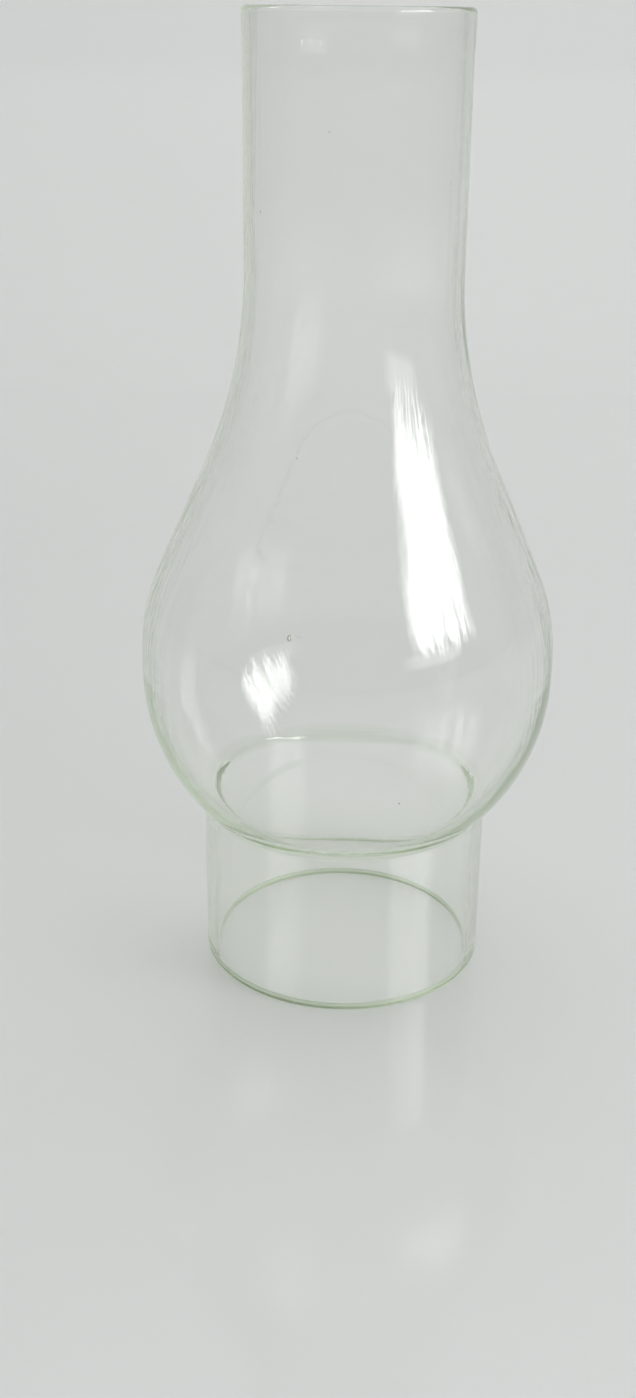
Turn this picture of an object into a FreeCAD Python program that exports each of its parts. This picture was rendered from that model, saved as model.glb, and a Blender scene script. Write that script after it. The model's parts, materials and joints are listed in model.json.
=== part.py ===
import FreeCAD, Part
import math
import os
import Sketcher

# Glass chimney of a small oil lamp, in millimetres.
# The origin is on the axis at the ground rim, and +Z points up to the lip.
# The outside and the inside of the glass are two outlines with bends of their own, so the wall is
# thick in the collar and the fold, thin round the belly and even in the tube.

SIZES = {
    "collar_diameter": 66.7,  # outside of the fitter collar, which a burner's prongs hold
    "bulb_diameter": 94.4,  # outside of the bulb, which is ball-shaped below and above its belly
    "tube_diameter": 46.5,  # outside of the straight tube
    "collar_height": 39.5,  # rim to crease
    "belly_rise": 4.0,  # the straight band that parts the two ball shapes
    "neck_rise": 64.1,  # top of the belly to the neck, where the cone would meet the tube in a corner
    "flare_reach": 21.7,  # how far below and above that corner the hollow bend of the neck runs
    "overall_height": 213.0,  # rim to lip: the tube takes what the other stretches leave
    "collar_wall": 2.5,
    "bulb_wall": 1.7,
    "tube_wall": 2.0,
    "fold_lift": 1.2,  # how much higher the crease sits on the inside
    "crease_radius": 1.4,  # the crisp outer corner under the bulb
    "fold_radius": 3.0,  # the soft inner corner, where the hot glass was pressed in
    "rim_land": 1.0,  # width of the ground flat that the chimney stands on
    "lip_swell": 0.2,  # how far the fire-polished lip flares past the tube
    "lip_rise": 1.6,  # height of that flare
    "lip_bevel": 0.5,  # the melted edges of the lip
}

doc = FreeCAD.newDocument("LampChimney")
sheet = doc.addObject("Spreadsheet::Sheet", "Sizes")
for row, (name, value) in enumerate(SIZES.items(), start=1):
    sheet.set(f"A{row}", name)
    sheet.set(f"B{row}", str(value))
    sheet.setAlias(f"B{row}", name)
doc.recompute()

# The two faces of the glass: the radii of their straight stretches, the height of the crease and
# the radius of its bend
OUTSIDE = {
    "collar": "Sizes.collar_diameter / 2",
    "bulb": "Sizes.bulb_diameter / 2",
    "tube": "Sizes.tube_diameter / 2",
    "crease": "Sizes.collar_height",
    "crease bend": "Sizes.crease_radius",
}
INSIDE = {
    "collar": "Sizes.collar_diameter / 2 - Sizes.collar_wall",
    "bulb": "Sizes.bulb_diameter / 2 - Sizes.bulb_wall",
    "tube": "Sizes.tube_diameter / 2 - Sizes.tube_wall",
    "crease": "Sizes.collar_height + Sizes.fold_lift",
    "crease bend": "Sizes.fold_radius",
}


def bowl_centre(face):
    # Height of the middle of the lower ball, which meets the collar's radius at the crease
    return f"{face['crease']} + sqrt(({face['bulb']})^2 - ({face['collar']})^2)"


# Heights that both faces share
BELLY_TOP = f"{bowl_centre(OUTSIDE)} + Sizes.belly_rise"
NECK_CORNER = f"{BELLY_TOP} + Sizes.neck_rise"
CONE_TOP = f"{NECK_CORNER} - Sizes.flare_reach"
TUBE_FOOT = f"{NECK_CORNER} + Sizes.flare_reach"
LIP_BEVEL_FOOT = "Sizes.overall_height - Sizes.lip_bevel"
LIP_FOOT = f"{LIP_BEVEL_FOOT} - Sizes.lip_rise"


def value_of(expression):
    return float(sheet.evalExpression(expression))


def point_at(radius, height):
    return FreeCAD.Vector(value_of(radius), value_of(height), 0)


def new_sketch(body, name):
    # A sketch on the plane through the axis: its X is the radius and its Y the height
    plane = next(f for f in body.Origin.OriginFeatures if f.Role == "XZ_Plane")
    sketch = body.newObject("Sketcher::SketchObject", name)
    sketch.AttachmentSupport = [(plane, "")]
    sketch.MapMode = "FlatFace"
    return sketch


def place(sketch, geometry, end, radius, height):
    # Ties a point to its radius and height, either of which may be left free
    for kind, expression in (("DistanceX", radius), ("DistanceY", height)):
        if expression:
            tie = Sketcher.Constraint(kind, -1, 1, geometry, end, value_of(expression))
            sketch.setExpression(f"Constraints[{sketch.addConstraint(tie)}]", expression)


def add_line(sketch, start, finish, direction=None):
    line = sketch.addGeometry(Part.LineSegment(start, finish))
    if direction:
        sketch.addConstraint(Sketcher.Constraint(direction, line))
    return line


def add_arc(sketch, centre, start, finish):
    # The shorter arc between two points. Returns it with the numbers of the ends at those points.
    circle = Part.Circle(centre, FreeCAD.Vector(0, 0, 1), (start - centre).Length)
    forward = (start - centre).cross(finish - centre).z > 0
    first, last = (start, finish) if forward else (finish, start)
    arc = sketch.addGeometry(Part.ArcOfCircle(circle, circle.parameter(first), circle.parameter(last)))
    return (arc, 1, 2) if forward else (arc, 2, 1)


def join(sketch, kind, first, first_end, second, second_end):
    sketch.addConstraint(Sketcher.Constraint(kind, first, first_end, second, second_end))


def centre_on_axis(sketch, arc, belly_end):
    # A ball-shaped stretch, which stands vertical where it meets the belly
    sketch.addConstraint(Sketcher.Constraint("PointOnObject", arc, 3, -2))
    join(sketch, "Horizontal", arc, 3, arc, belly_end)


def draw_collar_and_bowl(sketch, face):
    # The collar, the bend at the crease and the lower ball. Returns the collar and the ball's belly end.
    collar_radius, bulb_radius = value_of(face["collar"]), value_of(face["bulb"])
    bend_radius = value_of(face["crease bend"])
    middle = point_at("0", bowl_centre(face))
    drop = math.sqrt((bulb_radius + bend_radius) ** 2 - (collar_radius + bend_radius) ** 2)
    bend_centre = middle + FreeCAD.Vector(collar_radius + bend_radius, -drop, 0)
    bend_foot = bend_centre - FreeCAD.Vector(bend_radius, 0, 0)
    bend_head = middle + (bend_centre - middle).normalize() * bulb_radius
    belly_foot = middle + FreeCAD.Vector(bulb_radius, 0, 0)

    collar = add_line(sketch, point_at(face["collar"], "0"), bend_foot, "Vertical")
    bend, bend_low, bend_high = add_arc(sketch, bend_centre, bend_foot, bend_head)
    bowl, bowl_low, bowl_high = add_arc(sketch, middle, bend_head, belly_foot)
    join(sketch, "Tangent", collar, 2, bend, bend_low)
    join(sketch, "Tangent", bend, bend_high, bowl, bowl_low)
    centre_on_axis(sketch, bowl, bowl_high)

    bend_size = sketch.addConstraint(Sketcher.Constraint("Radius", bend, bend_radius))
    sketch.setExpression(f"Constraints[{bend_size}]", face["crease bend"])
    place(sketch, collar, 1, face["collar"], "0")
    place(sketch, bowl, bowl_high, face["bulb"], bowl_centre(face))
    return collar, bowl, bowl_high


def draw_flare(sketch, face, cone, cone_top):
    # The hollow bend of the neck, a spline whose middle pole is the corner of cone and tube
    corner, tube_foot = point_at(face["tube"], NECK_CORNER), point_at(face["tube"], TUBE_FOOT)
    curve = Part.BSplineCurve()
    curve.buildFromPolesMultsKnots([cone_top, corner, tube_foot], [3, 3], [0, 1], False, 2)
    flare = sketch.addGeometry(curve)
    sketch.exposeInternalGeometry(flare)
    corner_pole = flare + 2
    join(sketch, "Coincident", cone, 2, flare, 1)
    sketch.addConstraint(Sketcher.Constraint("PointOnObject", corner_pole, 3, cone))
    place(sketch, corner_pole, 3, face["tube"], NECK_CORNER)
    return flare


def draw_shoulder_and_tube(sketch, face, bowl, bowl_high, tube_top):
    # The belly, the upper ball, the cone, the flare and the tube. Returns the tube.
    bulb_radius, tube_radius = value_of(face["bulb"]), value_of(face["tube"])
    middle = point_at("0", BELLY_TOP)
    belly_foot, belly_top = point_at(face["bulb"], bowl_centre(face)), point_at(face["bulb"], BELLY_TOP)
    to_corner = point_at(face["tube"], NECK_CORNER) - middle
    lean = math.atan2(to_corner.y, to_corner.x) - math.acos(bulb_radius / to_corner.Length)
    cone_foot = middle + FreeCAD.Vector(math.cos(lean), math.sin(lean), 0) * bulb_radius
    cone_top_radius = tube_radius + value_of("Sizes.flare_reach") * math.tan(lean)
    cone_top = FreeCAD.Vector(cone_top_radius, value_of(CONE_TOP), 0)

    belly = add_line(sketch, belly_foot, belly_top, "Vertical")
    shoulder, shoulder_low, shoulder_high = add_arc(sketch, middle, belly_top, cone_foot)
    cone = add_line(sketch, cone_foot, cone_top)
    flare = draw_flare(sketch, face, cone, cone_top)
    tube = add_line(sketch, point_at(face["tube"], TUBE_FOOT), point_at(face["tube"], tube_top), "Vertical")
    join(sketch, "Coincident", bowl, bowl_high, belly, 1)
    join(sketch, "Coincident", belly, 2, shoulder, shoulder_low)
    join(sketch, "Tangent", shoulder, shoulder_high, cone, 1)
    join(sketch, "Coincident", flare, 2, tube, 1)
    centre_on_axis(sketch, shoulder, shoulder_low)

    place(sketch, belly, 2, None, BELLY_TOP)
    place(sketch, cone, 2, None, CONE_TOP)
    place(sketch, tube, 1, face["tube"], TUBE_FOOT)
    place(sketch, tube, 2, None, tube_top)
    return tube


def draw_face(sketch, face, tube_top):
    # One face of the glass, from the rim up. Returns its lowest and its highest line.
    collar, bowl, bowl_high = draw_collar_and_bowl(sketch, face)
    return collar, draw_shoulder_and_tube(sketch, face, bowl, bowl_high, tube_top)


def draw_lip(sketch, outer_tube, inner_tube):
    # The lip that the flame leaves: it flares a little, and its edges are melted round to small bevels
    lip_radius = f"{OUTSIDE['tube']} + Sizes.lip_swell"
    top = "Sizes.overall_height"
    corners = [
        (lip_radius, LIP_BEVEL_FOOT),
        (f"{lip_radius} - Sizes.lip_bevel", top),
        (f"{INSIDE['tube']} + Sizes.lip_bevel", top),
    ]
    points = [sketch.getPoint(outer_tube, 2)]
    points += [point_at(*corner) for corner in corners]
    points += [sketch.getPoint(inner_tube, 2)]
    previous = outer_tube
    for number, (start, finish) in enumerate(zip(points, points[1:])):
        line = add_line(sketch, start, finish)
        join(sketch, "Coincident", previous, 2, line, 1)
        if number < len(corners):
            place(sketch, line, 2, *corners[number])
        previous = line
    join(sketch, "Coincident", previous, 2, inner_tube, 2)


def draw_wall(body):
    # The section of the wall: its two faces, joined by the flat rim and by the lip
    sketch = new_sketch(body, "WallSection")
    outer_collar, outer_tube = draw_face(sketch, OUTSIDE, LIP_FOOT)
    inner_collar, inner_tube = draw_face(sketch, INSIDE, LIP_BEVEL_FOOT)
    rim = add_line(sketch, sketch.getPoint(outer_collar, 1), sketch.getPoint(inner_collar, 1))
    join(sketch, "Coincident", rim, 1, outer_collar, 1)
    join(sketch, "Coincident", rim, 2, inner_collar, 1)
    draw_lip(sketch, outer_tube, inner_tube)
    return sketch


def nearest_ring(shape, radius, height):
    # The name of the circular edge that lies nearest to a radius and a height
    def distance(item):
        curve = item[1].Curve
        return abs(curve.Radius - radius) + abs(curve.Center.z - height)

    rings = [item for item in enumerate(shape.Edges, start=1) if isinstance(item[1].Curve, Part.Circle)]
    return f"Edge{min(rings, key=distance)[0]}"


def make_chimney(name):
    body = doc.addObject("PartDesign::Body", name)
    wall = body.newObject("PartDesign::Revolution", "Wall")
    wall.Profile = draw_wall(body)
    wall.ReferenceAxis = (wall.Profile[0], ["V_Axis"])
    wall.Angle = 360
    doc.recompute()

    # The ground rim, whose two edges are taken off at 45 degrees
    rim = body.newObject("PartDesign::Chamfer", "Rim")
    rim.Base = (wall, [nearest_ring(wall.Shape, value_of(face["collar"]), 0) for face in (OUTSIDE, INSIDE)])
    rim.setExpression("Size", "(Sizes.collar_wall - Sizes.rim_land) / 2")
    doc.recompute()
    return body


chimney = make_chimney("glass_chimney")

for thing in doc.Objects:
    if "Invalid" in thing.State or "Error" in thing.State:
        raise RuntimeError(f"{thing.Label} failed")
    if thing.TypeId == "Sketcher::SketchObject" and not thing.FullyConstrained:
        raise RuntimeError(f"{thing.Label} is not fully constrained")

os.makedirs("parts", exist_ok=True)
if chimney.Shape.isNull() or not chimney.Shape.isValid() or len(chimney.Shape.Solids) != 1:
    raise RuntimeError(f"{chimney.Label} is not one sound solid")
chimney.Shape.exportStep(f"parts/{chimney.Label}.step")
print(chimney.Label, "volume", round(chimney.Shape.Volume), "mm3, box", chimney.Shape.optimalBoundingBox())
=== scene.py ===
import bmesh
import bpy
import json
import math
import random
from mathutils import Matrix, Vector, noise
from mathutils.bvhtree import BVHTree
from mathutils.geometry import interpolate_bezier


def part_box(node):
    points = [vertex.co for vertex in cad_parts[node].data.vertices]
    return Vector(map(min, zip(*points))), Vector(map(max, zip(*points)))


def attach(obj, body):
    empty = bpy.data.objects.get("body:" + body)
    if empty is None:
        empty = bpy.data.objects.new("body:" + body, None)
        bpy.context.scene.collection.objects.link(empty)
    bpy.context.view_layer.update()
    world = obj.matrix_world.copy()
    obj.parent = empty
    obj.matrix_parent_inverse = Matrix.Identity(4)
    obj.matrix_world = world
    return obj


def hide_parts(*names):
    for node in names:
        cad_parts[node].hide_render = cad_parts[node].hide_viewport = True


mm = 0.001
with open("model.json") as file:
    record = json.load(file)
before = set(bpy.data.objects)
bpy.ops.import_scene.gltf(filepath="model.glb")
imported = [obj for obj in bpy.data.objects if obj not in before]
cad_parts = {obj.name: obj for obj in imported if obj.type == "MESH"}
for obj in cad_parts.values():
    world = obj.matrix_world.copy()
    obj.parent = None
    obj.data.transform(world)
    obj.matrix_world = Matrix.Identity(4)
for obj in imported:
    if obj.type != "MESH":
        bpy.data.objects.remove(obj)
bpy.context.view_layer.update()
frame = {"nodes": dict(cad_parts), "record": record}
mounts = {mount["name"]: mount for mount in frame["record"]["mounts"]}
print("frame loaded:", ", ".join(frame["nodes"]))


def mountRadius(name):
    return mounts[name]["dims"]["r_mm"] * mm


# Shader maths

class Wire:
    # a shader socket that takes part in Python sums
    def __init__(self, material, socket):
        self.material, self.socket = material, socket

    def output(self, name):
        # another output of the same node
        return Wire(self.material, self.socket.node.outputs[name])

    def maths(self, operation, *values):
        return self.material.maths(operation, *values)

    def __add__(self, other):
        return self.maths("ADD", self, other)

    def __radd__(self, other):
        return self.maths("ADD", other, self)

    def __sub__(self, other):
        return self.maths("SUBTRACT", self, other)

    def __rsub__(self, other):
        return self.maths("SUBTRACT", other, self)

    def __mul__(self, other):
        return self.maths("MULTIPLY", self, other)

    def __rmul__(self, other):
        return self.maths("MULTIPLY", other, self)

    def __pow__(self, other):
        return self.maths("POWER", self, other)


class Finish:
    # the nodes of a material, a lamp or the world
    def __init__(self, owner):
        owner.use_nodes = True
        self.tree = owner.node_tree
        self.tree.nodes.clear()

    def node(self, kind, settings=None, *values, out=0, **named):
        # the node's settings go in first, then its sockets by number or by name
        node = self.tree.nodes.new(kind)
        for key, value in (settings or {}).items():
            setattr(node, key, value)
        spaced = {key.replace("_", " "): value for key, value in named.items()}
        for key, value in [*enumerate(values), *spaced.items()]:
            self.feed(node.inputs[key], value)
        return Wire(self, node.outputs[out]) if len(node.outputs) else node

    def maths(self, operation, *values):
        return self.node("ShaderNodeMath", {"operation": operation}, *values)

    def feed(self, socket, value):
        if isinstance(value, Wire):
            self.tree.links.new(value.socket, socket)
        elif value is not None:
            socket.default_value = value

    def mix(self, factor, first, second):
        # a colour from two, which go into the Mix node's sockets 6 and 7
        skipped = [None] * 5
        return self.node("ShaderNodeMix", {"data_type": "RGBA"}, factor, *skipped, first, second, out=2)


def softStep(value, low, high):
    # 0 below low and 1 above high
    smooth = {"interpolation_type": "SMOOTHSTEP"}
    return value.material.node("ShaderNodeMapRange", smooth, value, low, high)


def band(value, low, high, edge):
    # 1 between low and high, fading to 0 over the edge beyond them
    return softStep(value, low - edge, low) * (1 - softStep(value, high, high + edge))


# Mesh helpers

def newPiece(name, bm, material):
    mesh = bpy.data.meshes.new(name)
    bm.to_mesh(mesh)
    bm.free()
    mesh.materials.append(material)
    piece = bpy.data.objects.new(name, mesh)
    bpy.context.scene.collection.objects.link(piece)
    return piece


def across(radius, height):
    return Vector((radius, 0, height))


class Pen:
    # draws a profile from one vertex, a stretch at a time, in the plane of the radius and the height
    def __init__(self, bm, start, spacing):
        self.bm, self.spacing = bm, spacing
        self.tip = bm.verts.new(start)

    def line(self, corner, finish):
        # short guard rows at both ends keep the shading of the bends out of the straight
        way = finish - self.tip.co
        along = way.normalized()
        longest = self.spacing["guardShare"] * way.length
        guards = [guard for guard in self.spacing["guards"] if guard < longest]
        middle = way.length - 2 * sum(guards)
        rows = max(1, round(middle / self.spacing["length"]))
        for length in guards + [middle / rows] * rows + guards[::-1]:
            self.grow(along * length)

    def arc(self, centre, finish):
        start, end = self.tip.co - centre, finish - centre
        turn = math.atan2(end.z, end.x) - math.atan2(start.z, start.x)
        turn = (turn + math.pi) % (2 * math.pi) - math.pi
        byAngle = math.ceil(abs(turn) / self.spacing["angle"])
        byLength = round(abs(turn) * start.length / self.spacing["length"])
        spun = bmesh.ops.spin(
            self.bm, geom=[self.tip], cent=centre, axis=(0, -1, 0), angle=turn,
            steps=max(self.spacing["leastInArc"], byAngle, byLength), use_duplicate=False,
        )
        self.tip = next(v for v in spun["geom_last"] if isinstance(v, bmesh.types.BMVert))

    def curve(self, corner, finish):
        # a parabola that leaves towards the corner and arrives from it
        start = self.tip.co.copy()
        byLength = round((finish - start).length / self.spacing["length"])
        rows = max(self.spacing["leastInCurve"], byLength)
        handles = start.lerp(corner, 2 / 3), finish.lerp(corner, 2 / 3)
        for point in interpolate_bezier(start, *handles, finish, rows + 1)[1:]:
            self.grow(point - self.tip.co)

    def grow(self, step):
        self.tip = bmesh.ops.extrude_vert_indiv(self.bm, verts=[self.tip])["verts"][0]
        bmesh.ops.translate(self.bm, verts=[self.tip], vec=step)


# The chimney

chimney = {
    "node": "glass_chimney",
    "slot": "clear_glass",
    "collarHeight": 39.5 * mm,  # rim to crease
    "foldLift": 1.2 * mm,  # how much higher the crease sits on the inside
    "creaseRadius": 1.4 * mm,
    "foldRadius": 3.0 * mm,
    "bulbWall": 1.7 * mm,
    "bellyRise": 4.0 * mm,
    "neckRise": 64.1 * mm,  # belly to the corner where cone and tube would meet
    "flareReach": 21.7 * mm,  # how far down and up from that corner the bend goes
    "rimRound": 0.75 * mm,
    "lipSwell": 0.2 * mm,
    "lipRise": 9 * mm,  # the height over which it swells
    "segments": 224,
    "weld": 0.001 * mm,  # vertices as near as this become one
    "ripple": 0.12 * mm,  # how far blowing left the faces from true
    "rippleSize": 17 * mm,
    "rippleSquash": 0.45,  # below 1, ripples are longer up the glass than around it
    "toolTrue": 0.3,  # share of the ripple that is left below the bulb
}

rowSpacing = {
    "length": 2.4 * mm,
    "angle": math.radians(7),
    "leastInArc": 3,  # rows
    "leastInCurve": 4,
    "guards": (0.15 * mm, 0.4 * mm, 1 * mm),  # from a straight's end inwards
    "guardShare": 0.25,  # a guard row is shorter than this share of its straight
}


def faceOf(glass, collarRadius, bulbRadius, tubeRadius, crease, bend):
    # the stretches of one face, from the rim up: kind, centre or corner, and end
    bowlCentre = across(0, crease + math.sqrt(bulbRadius**2 - collarRadius**2))
    bendCentre = bowlCentre + across(
        collarRadius + bend, -math.sqrt((bulbRadius + bend) ** 2 - (collarRadius + bend) ** 2)
    )
    shoulderCentre = across(0, glass["bellyTop"])
    corner = across(tubeRadius, glass["bellyTop"] + glass["neckRise"])
    toCorner = corner - shoulderCentre
    lean = math.atan2(toCorner.z, toCorner.x) - math.acos(bulbRadius / toCorner.length)
    coneFoot = shoulderCentre + across(math.cos(lean), math.sin(lean)) * bulbRadius
    reach = glass["flareReach"]
    return [
        ("line", None, bendCentre - across(bend, 0)),
        ("arc", bendCentre, bowlCentre + (bendCentre - bowlCentre).normalized() * bulbRadius),
        ("arc", bowlCentre, bowlCentre + across(bulbRadius, 0)),
        ("line", None, shoulderCentre + across(bulbRadius, 0)),
        ("arc", shoulderCentre, coneFoot),
        ("line", None, corner + across(math.tan(lean), -1) * reach),
        ("curve", corner, corner + across(0, reach)),
    ]


def drawProfile(bm, glass):
    collarOut, collarIn = mountRadius("collar_outside"), mountRadius("collar_bore")
    tubeOut, tubeIn = mountRadius("tube_outside"), mountRadius("tube_bore")
    low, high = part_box(glass["node"])
    bulb = (high.x - low.x) / 2
    glass["bellyTop"] = glass["collarHeight"] + math.sqrt(bulb**2 - collarOut**2) + glass["bellyRise"]
    outside = faceOf(glass, collarOut, bulb, tubeOut, glass["collarHeight"], glass["creaseRadius"])
    foldHeight = glass["collarHeight"] + glass["foldLift"]
    inside = faceOf(glass, collarIn, bulb - glass["bulbWall"], tubeIn, foldHeight, glass["foldRadius"])

    # up the outside, from the flat of the rim
    rimRound = glass["rimRound"]
    pen = Pen(bm, across(collarOut - rimRound, 0), rowSpacing)
    first = pen.tip
    pen.arc(across(collarOut - rimRound, rimRound), across(collarOut, rimRound))
    for kind, middle, finish in outside:
        getattr(pen, kind)(middle, finish)

    # over the lip, which swells a little and is melted round
    swell, quarterRise = across(glass["lipSwell"], 0), across(0, glass["lipRise"] / 4)
    lipRadius = (tubeOut + glass["lipSwell"] - tubeIn) / 2
    lipCentre = across(tubeIn + lipRadius, high.z - lipRadius)
    swollen = lipCentre + across(lipRadius, 0)
    pen.line(None, swollen - swell - 4 * quarterRise)
    pen.curve(swollen - swell - 3 * quarterRise, swollen - swell / 2 - 2 * quarterRise)
    pen.curve(swollen - quarterRise, swollen)
    pen.arc(lipCentre, lipCentre + across(0, lipRadius))
    pen.arc(lipCentre, lipCentre - across(lipRadius, 0))

    # down the inside, and back along the flat of the rim
    pen.line(None, inside[-1][2])
    for (kind, middle, _), (_, _, finish) in zip(inside[:0:-1], inside[-2::-1]):
        getattr(pen, kind)(middle, finish)
    pen.line(None, across(collarIn, rimRound))
    pen.arc(across(collarIn + rimRound, rimRound), across(collarIn + rimRound, 0))
    pen.line(None, first.co)


def rippleGlass(bm, glass):
    # blown glass is never quite true, but the collar was shaped in a tool; the ripple only goes inwards
    for vert in bm.verts:
        place = vert.co / glass["rippleSize"]
        place.z *= glass["rippleSquash"]
        above = (vert.co.z - glass["collarHeight"]) / glass["rippleSize"]
        blown = min(1, max(glass["toolTrue"], above))
        offset = glass["ripple"] * blown * (noise.noise(place) - 1) / 2
        radius = vert.co.xy.length
        vert.co.x *= 1 + offset / radius
        vert.co.y *= 1 + offset / radius


seeds = {
    # the one that shows: its turn about the axis, height, half width
    "largest": (math.radians(-107), 95 * mm, 0.46 * mm),
    "number": 18,
    "heights": (48 * mm, 205 * mm),
    "halfWidths": (0.08 * mm, 0.2 * mm),
    "drawnOut": 1.5,
    "flattened": 0.8,
    "subdivisions": 2,
    "stepIn": 0.1 * mm,  # from the inside face into the wall, to look for the outside face from there
    "luck": 11,
}


def addSeeds(bm, look):
    # small gas bubbles, closed hollows halfway through the wall and drawn out along it
    tree = BVHTree.FromBMesh(bm)
    chance = random.Random(look["luck"])
    bubbles = [look["largest"]]
    for _ in range(look["number"]):
        turn, height = chance.uniform(-math.pi, math.pi), chance.uniform(*look["heights"])
        bubbles.append((turn, height, chance.uniform(*look["halfWidths"])))
    for turn, height, halfWidth in bubbles:
        outward = Vector((math.cos(turn), math.sin(turn), 0))
        inside = tree.ray_cast(Vector((0, 0, height)), outward)[0]
        outside, normal = tree.ray_cast(inside + outward * look["stepIn"], outward)[:2]
        around = Vector((-outward.y, outward.x, 0))
        axes = Matrix((around, normal, normal.cross(around))).transposed().to_4x4()
        shape = Matrix.Diagonal((halfWidth, halfWidth * look["flattened"], halfWidth * look["drawnOut"], 1))
        place = Matrix.Translation((inside + outside) / 2) @ axes @ shape
        bubble = bmesh.ops.create_icosphere(bm, subdivisions=look["subdivisions"], radius=1, matrix=place)
        faces = list({face for vert in bubble["verts"] for face in vert.link_faces})
        bmesh.ops.recalc_face_normals(bm, faces=faces)
        bmesh.ops.reverse_faces(bm, faces=faces)


def makeChimney(glass, material):
    bm = bmesh.new()
    drawProfile(bm, glass)
    bmesh.ops.remove_doubles(bm, verts=bm.verts, dist=glass["weld"])
    bmesh.ops.spin(
        bm, geom=bm.verts[:] + bm.edges[:], cent=(0, 0, 0), axis=(0, 0, 1), angle=2 * math.pi,
        steps=glass["segments"], use_merge=True, use_duplicate=False
    )
    bmesh.ops.remove_doubles(bm, verts=bm.verts, dist=glass["weld"])
    bmesh.ops.recalc_face_normals(bm, faces=bm.faces)
    rippleGlass(bm, glass)
    addSeeds(bm, seeds)
    for face in bm.faces:
        face.smooth = True
    piece = newPiece("chimneyGlass", bm, material)
    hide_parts(glass["node"])
    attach(piece, "root")
    return piece


glassFinish = {
    "colour": (1, 1, 1, 1),
    "edgeColour": (0.64, 0.74, 0.55, 1),  # where the wall is thick and light runs along it
    "foldShare": 0.3,  # how far the fold's colour goes from the plain one to the edge's
    "ior": 1.52,
    "absorbed": (0.55, 0.85, 0.22, 1),
    "density": 10,  # per metre
    "groundRoughness": 0.45,
    "groundHeight": 1.3 * mm,
    "groundFade": 0.7,  # the share of that height at which the ground starts to fade
    "grit": dict(Scale=2600, Detail=2),
    "gritDepth": 0.05 * mm,
    "fold": (39.2 * mm, 40.6 * mm, 1.2 * mm),  # from, to and fade of the pressed fold
    "blown": (50 * mm, 85 * mm),  # where the tool's even surface gives way to blown glass
    "toolEven": 0.1,  # share of the relief that is left below that
    "drawLines": dict(Scale=230, Detail=2, Roughness=0.45),
    "drawLineSquash": (1, 1, 0.09),  # below 1, the lines are longer up the glass than around it
    "drawLineDepth": 0.07 * mm,
    "unevenness": dict(Scale=70, Detail=1),
    "unevenDepth": 0.05 * mm,
    "film": dict(Scale=45, Detail=4),
    "filmSquash": (1, 1, 0.4),
    "filmTurn": (0.5, 0.3, 0),
    "filmEdges": (0.5, 0.7),
    "filmRoughness": 0.035,
    "mostTurns": 2.5,  # how often light may turn back inside the wall before it counts as trapped
    "trapped": (0.58, 0.645, 0.54, 1),
    "passes": 0.94,  # how much of a lamp's light passes a face that it meets squarely
    "aslantLoss": 0.75,  # how much less where it grazes the face
    "aslantPower": 3,
    "aslantBlend": 0.35,
}


def makeGlass(finish):
    material = bpy.data.materials.new("clearGlass")
    m = Finish(material)
    place = m.node("ShaderNodeTexCoord", out="Object")
    height = m.node("ShaderNodeSeparateXYZ", None, place, out="Z")

    def pattern(name, where):
        return m.node("ShaderNodeTexNoise", None, where, out="Fac", **finish[name])

    # the rim is ground, and the rest is fire-polished
    ground = 1 - softStep(height, finish["groundFade"] * finish["groundHeight"], finish["groundHeight"])
    grit = pattern("grit", place) * finish["gritDepth"]

    # draw lines run up the glass, and a slow unevenness goes with them
    drawn = m.node("ShaderNodeMapping", None, place, Scale=finish["drawLineSquash"])
    lines = pattern("drawLines", drawn) * finish["drawLineDepth"]
    slow = pattern("unevenness", place) * finish["unevenDepth"]
    even = finish["toolEven"]
    blown = even + (1 - even) * softStep(height, *finish["blown"])
    relief = blown * (lines + slow) + ground * grit
    bumps = m.node("ShaderNodeBump", None, Strength=1, Distance=1, Height=relief)

    # faint smears from wiping
    wiped = m.node("ShaderNodeMapping", None, place, Scale=finish["filmSquash"], Rotation=finish["filmTurn"])
    smears = softStep(pattern("film", wiped), *finish["filmEdges"])

    # the glass is greenest at the rim and in the fold
    edges = ground + finish["foldShare"] * band(height, *finish["fold"])
    surface = m.node(
        "ShaderNodeBsdfPrincipled", None,
        Base_Color=m.mix(edges, finish["colour"], finish["edgeColour"]),
        Roughness=ground * finish["groundRoughness"] + smears * finish["filmRoughness"],
        IOR=finish["ior"], Transmission_Weight=1, Normal=bumps,
    )

    # light that runs on along inside the wall comes out pale green at last
    turns = m.node("ShaderNodeLightPath", out="Glossy Depth")
    trapped = m.maths("GREATER_THAN", turns, finish["mostTurns"])
    glow = m.node("ShaderNodeBsdfDiffuse", None, finish["trapped"])
    lit = m.node("ShaderNodeMixShader", None, trapped, surface, glow)

    # lamps shine through, with less where they meet the glass aslant
    lampRays = turns.output("Is Shadow Ray") + turns.output("Is Diffuse Ray")
    slant = m.node("ShaderNodeLayerWeight", None, finish["aslantBlend"], out="Facing")
    passes = finish["passes"] - finish["aslantLoss"] * slant ** finish["aslantPower"]
    clear = m.node("ShaderNodeBsdfTransparent")
    mixed = m.node("ShaderNodeMixShader", None, lampRays * passes, lit, clear)
    tint = m.node("ShaderNodeVolumeAbsorption", None, finish["absorbed"], finish["density"])
    m.node("ShaderNodeOutputMaterial", None, mixed, tint)
    return material


glassMaterial = makeGlass(glassFinish)
makeChimney(chimney, glassMaterial)
print("chimney made")


# Studio

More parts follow.
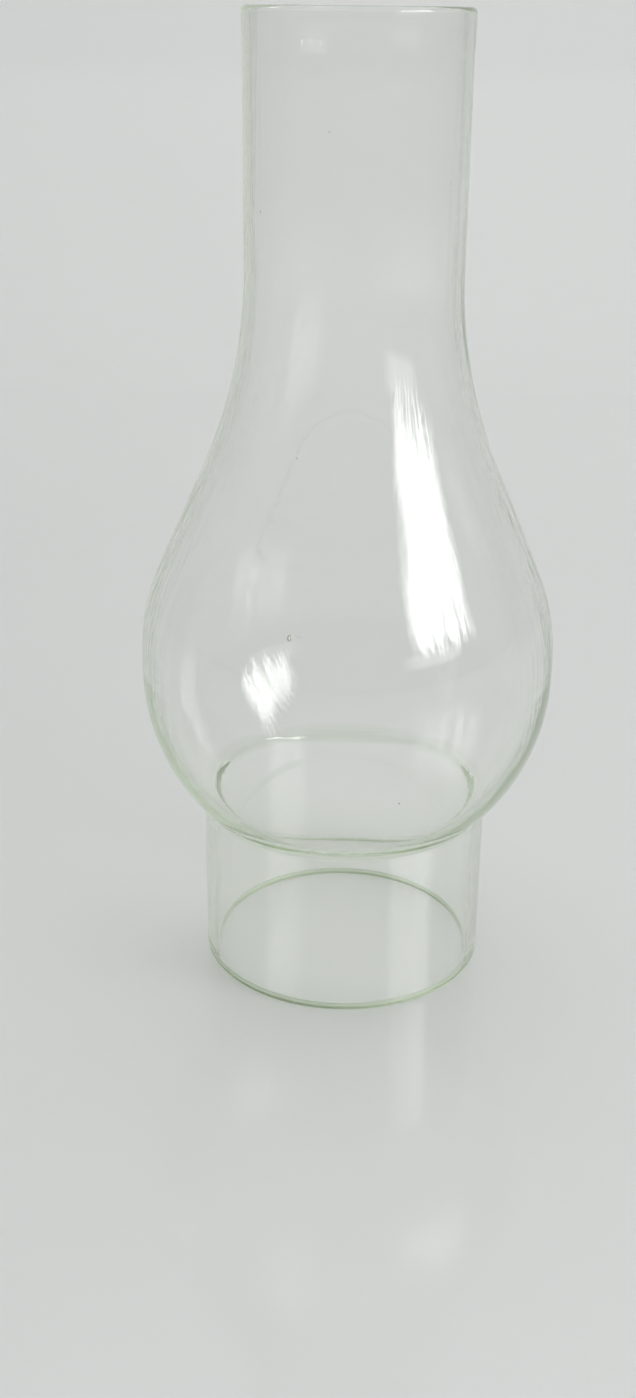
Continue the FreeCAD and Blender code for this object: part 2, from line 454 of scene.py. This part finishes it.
studio = {
    "ground": -0.05 * mm,  # just under the rim
    "front": -5.0,
    "back": 1.3,
    "sweepRadius": 0.7,
    "sweepRows": 24,
    "top": 2.4,  # how much further the paper goes up above the sweep
    "halfWidth": 5.0,
    "paper": (0.67, 0.68, 0.675, 1),
    # the far colour is painted paler, as painted light where less of the lamps' light reaches the back of
    # the sweep
    "farPaperPaintedLight": (0.80, 0.81, 0.805, 1),
    "far": (0.2, 1.2),  # how far back the paper turns into the paler far colour, painted light that makes up for the lamps' light falling off there
    "gloss": 0.12,
    "paperIor": 1.8,
    "room": (0.37, 0.375, 0.37, 1),
    "roomFloor": (0.30, 0.305, 0.30, 1),
    "horizon": (-0.12, 0.12),  # the rise over which the room's floor turns into the room
}


def makeStudio(look):
    # paper sweep: a pale floor that curves up behind the chimney
    bm = bmesh.new()
    left = -look["halfWidth"]
    pen = [bm.verts.new((left, look["front"], look["ground"]))]

    def grow(step):
        pen[0] = bmesh.ops.extrude_vert_indiv(bm, verts=pen)["verts"][0]
        bmesh.ops.translate(bm, verts=pen, vec=step)

    grow((0, look["back"] - look["sweepRadius"] - look["front"], 0))
    centre = (left, look["back"] - look["sweepRadius"], look["ground"] + look["sweepRadius"])
    bend = bmesh.ops.spin(
        bm, geom=pen, cent=centre, axis=(1, 0, 0), angle=math.pi / 2, steps=look["sweepRows"]
    )
    pen[0] = next(v for v in bend["geom_last"] if isinstance(v, bmesh.types.BMVert))
    grow((0, 0, look["top"]))
    sheet = bmesh.ops.extrude_edge_only(bm, edges=bm.edges[:])
    farSide = [v for v in sheet["geom"] if isinstance(v, bmesh.types.BMVert)]
    bmesh.ops.translate(bm, verts=farSide, vec=(2 * look["halfWidth"], 0, 0))
    bmesh.ops.recalc_face_normals(bm, faces=bm.faces)
    for face in bm.faces:
        face.smooth = True

    material = bpy.data.materials.new("palePaper")
    m = Finish(material)
    depth = m.node("ShaderNodeSeparateXYZ", None, m.node("ShaderNodeTexCoord", out="Object"), out="Y")
    # painted light: the paper is painted paler towards the back, where the lamps light it less
    shade = m.mix(softStep(depth, *look["far"]), look["paper"], look["farPaperPaintedLight"])
    surface = m.node(
        "ShaderNodeBsdfPrincipled", None, Base_Color=shade, Roughness=look["gloss"], IOR=look["paperIor"]
    )
    m.node("ShaderNodeOutputMaterial", None, surface)
    newPiece("paperSweep", bm, material)

    world = bpy.data.worlds.new("room")
    bpy.context.scene.world = world
    w = Finish(world)
    rise = w.node("ShaderNodeSeparateXYZ", None, w.node("ShaderNodeTexCoord", out="Generated"), out="Z")
    tone = w.mix(softStep(rise, *look["horizon"]), look["roomFloor"], look["room"])
    w.node("ShaderNodeOutputWorld", None, w.node("ShaderNodeBackground", None, tone, 1))


# Each lamp is aimed at the chimney. Its azimuth, to the right of the camera, and its elevation are seen
# from there. fade is how much of each half fades towards the edge, ragged how far the pleats cut into its
# lower edge, and slope how much its top comes down towards the camera.
lamps = {
    "window": dict(
        azimuth=56.5, elevation=31, distance=1.35, size=(1.01, 1.22), radiance=8.5,
        fade=0.4, ragged=0.18, slope=0.36,
    ),
    "sill": dict(azimuth=48, elevation=10, distance=1.35, size=(1.0, 0.22), radiance=1.3, fade=0.6),
    "leftPatch": dict(azimuth=-113, elevation=42, distance=1.3, size=(0.3, 0.3), radiance=5.0, fade=0.8),
    "overhead": dict(
        azimuth=180, elevation=72, distance=2.1, size=(2.4, 2.4), radiance=2.05, fade=0.4, mirrored=False
    ),
}
lampAim = Vector((0, 0, 90 * mm))
pleats = {
    "scale": (16, 1.2, 1),
    "noise": dict(Scale=1, Detail=2),
    "edges": (0.32, 0.68),
    "depth": 0.55,  # how much of the light they hold back
}


def addLamp(name, azimuth, elevation, distance, size, radiance, fade, ragged=0, slope=0, mirrored=True):
    turn, rise = math.radians(azimuth), math.radians(elevation)
    away = Vector((math.sin(turn) * math.cos(rise), -math.cos(turn) * math.cos(rise), math.sin(rise)))
    data = bpy.data.lights.new(name, "AREA")
    data.shape = "RECTANGLE"
    data.size, data.size_y = size
    data.energy = radiance * math.pi * size[0] * size[1]
    lamp = bpy.data.objects.new(name, data)
    bpy.context.scene.collection.objects.link(lamp)
    lamp.location = lampAim + away * distance
    lamp.rotation_euler = away.to_track_quat("Z", "Y").to_euler()
    lamp.visible_camera = False
    lamp.visible_glossy = mirrored
    lamp.visible_transmission = mirrored

    # the light falls off softly towards the edges, and a pleated diffuser may hang over it
    n = Finish(data)
    spot = n.node("ShaderNodeNewGeometry", out="Parametric")
    left, low = (n.node("ShaderNodeSeparateXYZ", None, spot, out=axis) for axis in "XY")
    shade = 1
    if ragged:
        hung = n.node("ShaderNodeMapping", None, spot, Scale=pleats["scale"])
        cloth = n.node("ShaderNodeTexNoise", None, hung, out="Fac", **pleats["noise"])
        folds = softStep(cloth, *pleats["edges"])
        low = low - ragged * folds
        shade = 1 - pleats["depth"] * folds
    high = low + slope * (1 - left) + ragged
    level = shade * softStep(left, 0, fade / 2) * softStep(low, 0, fade / 2)
    level = level * (1 - softStep(left, 1 - fade / 2, 1)) * (1 - softStep(high, 1 - fade / 2, 1))
    n.node("ShaderNodeOutputLight", None, n.node("ShaderNodeEmission", None, (1, 1, 1, 1), level))


makeStudio(studio)
for lampName, values in lamps.items():
    addLamp(lampName, **values)
print("studio made")

# Camera: where the photograph was taken from

view = {
    "place": Vector((-6.57, -342.2, 212.6)) * mm,
    "pitch": math.radians(-23.48),
    "roll": math.radians(0.65),
    "lens": 41.0,
    "clipStart": 10 * mm,
}


def addCamera(look):
    data = bpy.data.cameras.new("camera")
    data.lens = look["lens"]
    data.clip_start = look["clipStart"]
    camera = bpy.data.objects.new("camera", data)
    bpy.context.scene.collection.objects.link(camera)
    tilt = Matrix.Rotation(math.pi / 2 + look["pitch"], 4, "X") @ Matrix.Rotation(look["roll"], 4, "Z")
    camera.matrix_world = Matrix.Translation(look["place"]) @ tilt
    bpy.context.scene.camera = camera


addCamera(view)
bpy.context.scene.view_settings.view_transform = "Standard"
